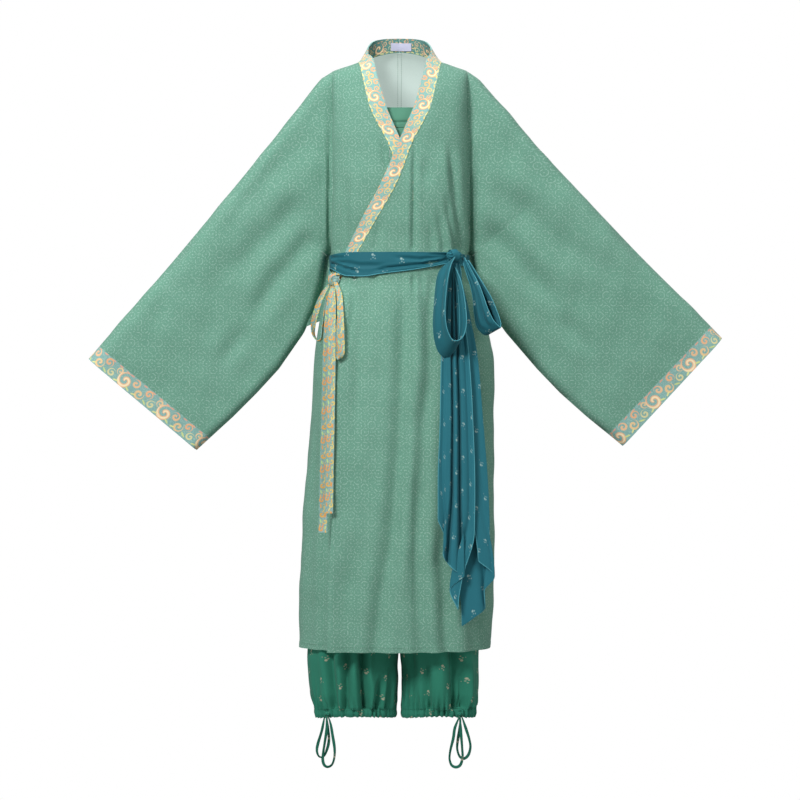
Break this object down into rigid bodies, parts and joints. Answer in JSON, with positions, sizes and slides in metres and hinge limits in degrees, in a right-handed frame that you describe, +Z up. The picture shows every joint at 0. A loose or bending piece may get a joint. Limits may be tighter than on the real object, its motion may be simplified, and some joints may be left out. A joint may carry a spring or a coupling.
{
  "type": "hanfu robe set",
  "caption": "Cross-collared robe with wide sleeves, tied sash and side ties, over a strapped camisole and trousers with drawstring hems.",
  "frame": {"origin": "on the shoulders, midway between the robe's two neck points, where the wearer holds the set up", "axes": "+Z up, -Y the wearer's front, +X the wearer's left"},
  "size_m": [1.2933, 0.273, 1.4876],
  "materials": {
    "robe_cloth": "soft matte weave",
    "band_cloth": "printed matte weave",
    "sash_cloth": "soft matte weave",
    "trouser_cloth": "soft matte weave",
    "camisole_cloth": "soft matte weave",
    "label_cloth": "plain woven label"
  },
  "bodies": {
    "root": {"back_left": "robe_cloth", "back_right": "robe_cloth", "camisole_back": "camisole_cloth", "camisole_band": "camisole_cloth", "camisole_front": "camisole_cloth", "camisole_strap_left": "camisole_cloth", "camisole_strap_right": "camisole_cloth", "collar_left": "band_cloth", "collar_right": "band_cloth", "cuff_left": "band_cloth", "cuff_right": "band_cloth", "drawstring_knot_left": "trouser_cloth", "drawstring_knot_right": "trouser_cloth", "drawstring_long_left": "trouser_cloth", "drawstring_long_right": "trouser_cloth", "drawstring_short_left": "trouser_cloth", "drawstring_short_right": "trouser_cloth", "front_left": "robe_cloth", "front_right": "robe_cloth", "leg_casing_left": "trouser_cloth", "leg_casing_right": "trouser_cloth", "leg_left": "trouser_cloth", "leg_right": "trouser_cloth", "neck_label": "label_cloth", "overlap_inner": "robe_cloth", "overlap_outer": "robe_cloth", "sash_band": "sash_cloth", "sash_knot": "sash_cloth", "sash_loop_front": "sash_cloth", "sash_loop_side": "sash_cloth", "sash_tail_front": "sash_cloth", "sash_tail_side": "sash_cloth", "sleeve_left": "robe_cloth", "sleeve_right": "robe_cloth", "tie_knot": "band_cloth", "tie_loop_front": "band_cloth", "tie_loop_side": "band_cloth", "tie_tail_long": "band_cloth", "tie_tail_short": "band_cloth", "trousers_waistband": "trouser_cloth"}
  },
  "joints": []
}
